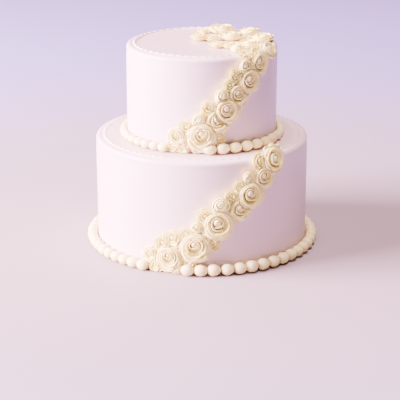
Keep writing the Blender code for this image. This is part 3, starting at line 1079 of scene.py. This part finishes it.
@dataclass(frozen=True)
class SugarFlower:
    """One sugar flower in place of its CAD solid.

    Attributes:
        node: The CAD solid that it replaces.
        bloom: Its kind.
        radius: Its radius.
        seat: Where it sits.
        number: Seeds its own small differences.
    """

    node: str
    bloom: Bloom
    radius: float
    seat: Seat
    number: int

    @property
    def height(self) -> float:
        """How far it stands out from its seat."""
        return 2 * self.radius * FORMS[self.bloom].height

    @property
    def middle(self) -> Vector:
        """The point at half its height, above the middle of its seat."""
        return self.seat.place + self.seat.outward * (self.height / 2)

    def surface(self) -> Surface:
        """The flower's whorls and its heart, seated on the icing."""
        form = FORMS[self.bloom]
        draw = np.random.default_rng(1000 + self.number)
        thick = form.thick * min(1.0, 0.45 + 0.55 * self.radius / (12 * MM))
        turn = self.number * SPIN_STEP
        off = self.radius * np.array((*form.nudge, 0.0))
        share, low, high = form.heart
        middle = heart(share * self.radius, low * self.height, high * self.height, form.glow)
        parts = [replace(middle, points=middle.points + off)]
        for ring, whorl in enumerate(form.whorls + form.core):
            turn += math.pi / whorl.petals + 0.35 * ring
            aim = whorl.aim if whorl.aim is not None else turn
            petals = petal_ring(whorl, self.radius, self.height, thick, aim, draw)
            shift = off if whorl in form.core else 0.0
            parts.append(replace(petals, points=petals.points + shift))
        flower = Surface.joined(parts)
        tall = flower.points[:, 2].max() / (HEIGHT_SHARE * self.height)
        rise = LOW_SHARE if self.node in LOW_ON_EDGE else form.rise
        level = flower.points * np.array([1.0, 1.0, rise / max(1.0, tall)])
        # Painted shade: the flowers on the top, lit by the ceiling lamp, are painted darker
        tone = flower.tone - (TOP_SHADE if self.node.startswith("top") else 0.0)
        shaped = replace(flower, points=level, tone=np.clip(tone, 0.0, 1.0))
        return self.seat.seated(shaped, self.radius, self.height)

    def tucked_under(self, points: Array) -> Array:
        """Presses another flower's points down behind this one's outer petals.

        The underside of the outer petals is a cone that rises from nothing at CONE_START of the
        radius to CONE_SHARE of the height at the radius. Points over it are lowered onto it.
        """
        seat = self.seat
        local = (points - np.array(seat.place)) @ seat.axes.T
        rise = local[:, 2] - self.height / 2
        away = np.hypot(local[:, 0] - seat.lean[0] * rise, local[:, 1] - seat.lean[1] * rise)
        ceiling = CONE_SHARE * self.height * (away / self.radius - CONE_START) / (1 - CONE_START) - CONE_GAP
        over = np.maximum(local[:, 2] - np.maximum(ceiling, CONE_FLOOR), 0.0)
        over = np.where(away < CONE_REACH * self.radius, over, 0.0)
        return points - over[:, None] * np.array(seat.outward)

    def build(self, behind: Sequence["SugarFlower"], finishes: dict[Slot, bpy.types.Material]) -> None:
        """Makes the flower in place of its CAD solid, tucked behind the wider ones given."""
        surface = self.surface()
        for wider in behind:
            surface = replace(surface, points=wider.tucked_under(surface.points))
        rose = self.bloom in (Bloom.CUPPED, Bloom.OPEN, Bloom.LOW)
        slot = Slot.ROSE if rose else Slot.FILLER
        make_piece(self.node + "_sugar", surface, finishes[slot], slot, [self.node])


OPEN_ROSES = ("lower_rose_1", "lower_rose_2", "lower_rose_3", "upper_rose_1", "upper_rose_2")


def bloom_of(node: str) -> Bloom:
    """The kind of a flower, from its node's name."""
    if node in OPEN_ROSES:
        return Bloom.OPEN
    if node.startswith("top_rose_"):
        return Bloom.LOW
    if "_rose_" in node:
        return Bloom.CUPPED
    return Bloom.BUD if "_bud_" in node else Bloom.BLOSSOM


# Flowers on the walls: node, azimuth in degrees, level above the tier's foot and width in mm
WALL_FLOWERS = (
    ("lower_rose_1", -27.3, 16.9, 18.5),
    ("lower_rose_2", -16.6, 15.9, 25.0),
    ("lower_rose_3", -3.5, 28.5, 29.5),
    ("lower_rose_4", 8.1, 51.3, 29.5),
    ("lower_rose_5", 19.4, 64.8, 21.5),
    ("lower_rose_6", 24.7, 78.1, 26.2),
    ("lower_rose_7", 32.4, 94.0, 23.2),
    ("lower_bud_1", -2.6, 49.3, 14.5),
    ("lower_bud_2", 9.4, 71.2, 16.2),
    ("lower_bud_3", 23.6, 97.3, 12.0),
    ("lower_bud_4", -13.0, 6.2, 11.4),
    ("lower_blossom_1", -18.4, 4.6, 9.0),
    ("lower_blossom_2", -24.2, 6.6, 13.0),
    ("lower_blossom_4", -6.4, 14.0, 12.0),
    ("lower_blossom_5", -19.9, 30.2, 14.8),
    ("lower_blossom_6", -14.9, 36.0, 15.2),
    ("lower_blossom_7", -8.3, 41.5, 13.8),
    ("lower_blossom_8", 5.4, 32.0, 13.0),
    ("lower_blossom_9", 1.7, 59.6, 15.0),
    ("lower_blossom_10", 14.6, 79.3, 13.8),
    ("lower_blossom_11", 19.2, 87.9, 13.8),
    ("upper_rose_1", -17.9, 16.0, 18.8),
    ("upper_rose_2", 0.0, 17.0, 28.4),
    ("upper_rose_3", 10.7, 31.4, 23.5),
    ("upper_rose_4", 17.7, 41.6, 25.4),
    ("upper_rose_5", 26.2, 56.4, 22.2),
    ("upper_rose_6", 35.3, 68.6, 24.4),
    ("upper_rose_7", 44.2, 83.7, 23.2),
    ("upper_bud_1", -1.8, 33.4, 13.8),
    ("upper_bud_2", 14.2, 56.5, 15.4),
    ("upper_bud_3", 31.2, 84.4, 13.2),
    ("upper_blossom_1", -21.6, 5.8, 11.4),
    ("upper_blossom_2", -13.6, 6.0, 12.0),
    ("upper_blossom_3", -3.6, 4.2, 8.2),
    ("upper_blossom_4", 12.2, 14.7, 12.5),
    ("upper_blossom_5", -10.7, 25.5, 14.0),
    ("upper_blossom_6", 5.0, 45.4, 14.0),
    ("upper_blossom_7", 19.7, 66.4, 13.0),
    ("upper_blossom_8", 24.4, 75.5, 12.8),
)

# Flowers on the rounded edges: node, azimuth and tilt in degrees and width in mm
EDGE_FLOWERS = (
    ("lower_rose_8", 37.7, 15.7, 25.5),
    ("lower_blossom_3", 30.6, 17.0, 15.5),
    ("upper_rose_8", 57.6, 46.9, 18.5),
    ("upper_blossom_9", 44.0, 48.7, 13.5),
    ("upper_blossom_10", 33.6, 60.4, 12.0),
)

# Flowers on the top: node, x, y and width in mm
TOP_FLOWERS = (
    ("top_rose_1", 20.5, 45.6, 24.8),
    ("top_rose_2", 29.7, 12.5, 23.0),
    ("top_rose_3", 49.6, 36.0, 19.0),
    ("top_rose_4", 61.2, 4.4, 21.0),
    ("top_rose_5", 46.4, -25.2, 22.4),
    ("top_bud_1", 34.1, -45.6, 11.8),
    ("top_blossom_1", -2.4, 7.6, 15.5),
    ("top_blossom_2", 9.6, 5.0, 12.0),
    ("top_blossom_3", 15.6, -25.0, 13.5),
    ("top_blossom_4", 26.8, -29.0, 12.0),
    ("top_blossom_5", 1.2, 40.4, 10.5),
    ("top_blossom_6", 47.4, 10.7, 9.5),
)


@dataclass(frozen=True)
class Cascade:
    """Every sugar flower on the cake, from the foot of the lower tier to the top.

    Attributes:
        lower: The lower tier's sizes.
        upper: The upper tier's sizes.
    """

    lower: Tier
    upper: Tier

    def tier(self, node: str) -> Tier:
        """The tier that a flower sits on."""
        return self.lower if node.startswith("lower") else self.upper

    def seats(self) -> Iterator[tuple[str, float, Seat]]:
        """Each flower's node, width in mm and seat."""
        for node, azimuth, level, width in WALL_FLOWERS:
            yield node, width, self.tier(node).wall(azimuth, level)
        for node, azimuth, tilt, width in EDGE_FLOWERS:
            yield node, width, self.tier(node).edge(azimuth, tilt)
        for node, x, y, width in TOP_FLOWERS:
            yield node, width, self.upper.level(x, y, width)

    def build(self, finishes: dict[Slot, bpy.types.Material]) -> None:
        """Makes each flower, the widest first.

        A narrower flower that touches a wider one a little gives way, and one that reaches
        far into it is tucked behind it, as in the CAD.
        """
        placed: list[SugarFlower] = []
        rows = sorted(self.seats(), key=lambda row: -row[1])
        for number, (node, width, seat) in enumerate(rows):
            radius = width / 2 * MM
            flower = SugarFlower(node, bloom_of(node), radius, seat, number)
            behind = []
            for wider in placed:
                apart = (wider.middle - flower.middle).length
                overlap = radius + wider.radius + GAP - apart
                if overlap > SHRINK_SHARE * radius:
                    behind.append(wider)
                elif overlap > 0:
                    radius -= overlap
            flower = replace(flower, radius=radius)
            flower.build(behind, finishes)
            placed.append(flower)


@dataclass(frozen=True)
class Studio:
    """A plain pale floor, soft lights and the camera at the photograph's angle.

    Attributes:
        camera_place: Where the camera stands.
        camera_tilt: How far it looks down, in degrees.
        focal_pixels: The focal length in pixels of a 400 pixel wide picture.
    """

    camera_place: tuple[float, float, float] = (-0.0018, -1.3328, 0.4991)
    camera_tilt: float = 19.05
    focal_pixels: float = 1353.7

    def camera(self) -> None:
        """Sets up the camera: lens = focal pixels / picture width * sensor width."""
        data = bpy.data.cameras.new("camera")
        data.sensor_width = 36.0
        data.lens = self.focal_pixels / 400 * data.sensor_width
        data.clip_start = 0.05
        camera = bpy.data.objects.new("camera", data)
        camera.location = self.camera_place
        camera.rotation_euler = (math.radians(90 - self.camera_tilt), 0.0, 0.0)
        bpy.context.scene.collection.objects.link(camera)
        bpy.context.scene.camera = camera

    def floor(self) -> None:
        """A wide sheet under the cake, as a grid in the plane z = 0."""
        steps = np.linspace(-6.0, 6.0, 5)
        x, y = np.meshgrid(steps, steps, indexing="ij")
        points = np.stack([x, y, np.zeros_like(x)], axis=-1).reshape(-1, 3)
        mesh = bpy.data.meshes.new("floor")
        mesh.from_pydata(points.tolist(), [], grid_faces(5, 5, flip=True).tolist())
        mesh.materials.append(FLOOR.material())
        floor = bpy.data.objects.new("floor", mesh)
        bpy.context.scene.collection.objects.link(floor)
        floor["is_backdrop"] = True

    def soft_light(
        self, name: str, place: Vector, aim: Vector, size: float, power: float, colour: Colour
    ) -> None:
        """A square area light that faces a point.

        Args:
            name: The light's name.
            place: Where it hangs.
            aim: The point that it faces.
            size: The length of its sides.
            power: Its power in watts.
            colour: Its colour.
        """
        data = bpy.data.lights.new(name, "AREA")
        data.shape = "SQUARE"
        data.size = size
        data.energy = power
        data.color = colour
        light = bpy.data.objects.new(name, data)
        light.location = place
        light.rotation_euler = (aim - place).to_track_quat("-Z", "Y").to_euler()
        bpy.context.scene.collection.objects.link(light)

    def lights(self) -> None:
        """A broad window on the left, a soft ceiling, a weak fill on the right and an even sky."""
        aim = Vector((0.0, 0.0, 0.11))
        self.soft_light("window", Vector((-2.16, -0.42, 0.86)), aim, 1.5, 1150.0, (1.0, 0.64, 0.78))
        self.soft_light("ceiling", Vector((0.1, -0.15, 2.5)), aim, 0.9, 165.0, (1.0, 0.66, 0.70))
        self.soft_light("fill", Vector((1.2, -2.0, 1.0)), aim, 1.6, 5.0, (1.0, 0.86, 0.62))
        world = bpy.data.worlds.new("soft_sky")
        world.use_nodes = True
        sky = world.node_tree.nodes["Background"]
        sky.inputs["Color"].default_value = (1.0, 0.82, 0.50, 1.0)
        sky.inputs["Strength"].default_value = 0.09
        bpy.context.scene.world = world

    def build(self) -> None:
        """Makes the camera, the floor and the lights."""
        self.camera()
        self.floor()
        self.lights()


def write_sizes() -> None:
    """Works out the CAD box and the dressed cake's box as plain lists."""
    boxes = {"cad": CAD_BOX, "visual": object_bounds()}
    plain = {name: [[float(value) for value in corner] for corner in box] for name, box in boxes.items()}


def main() -> None:
    """Builds the tiers, the borders, the cascade and the studio, in that order."""
    logging.basicConfig(level=logging.INFO, format="%(name)s: %(message)s", stream=sys.stdout)
    finishes = {
        Slot.ICING: ICING.material(),
        Slot.PIPING: PIPING.material(),
        Slot.ROSE: ROSE_SUGAR.material(),
        Slot.FILLER: FILLER_SUGAR.material(),
    }
    lower, upper = Tier.of("lower_tier"), Tier.of("upper_tier")
    IcedTier("lower_tier", 76, 0.4).build(finishes[Slot.ICING])
    IcedTier("upper_tier", 52, 2.3).build(finishes[Slot.ICING])
    borders = (
        PearlBorder("lower_border", 55, -6.9, 329.2, 0.045, 5.9 * MM, 1.0, lower.radius, lower.base, 11),
        PearlBorder("upper_border", 40, 5.6, 332.2, 0.085, 5.35 * MM, 0.74, upper.radius, upper.base, 12),
    )
    for border in borders:
        border.build(finishes[Slot.PIPING])
    Cascade(lower, upper).build(finishes)
    Studio().build()
    write_sizes()


if __name__ == "__main__":
    main()
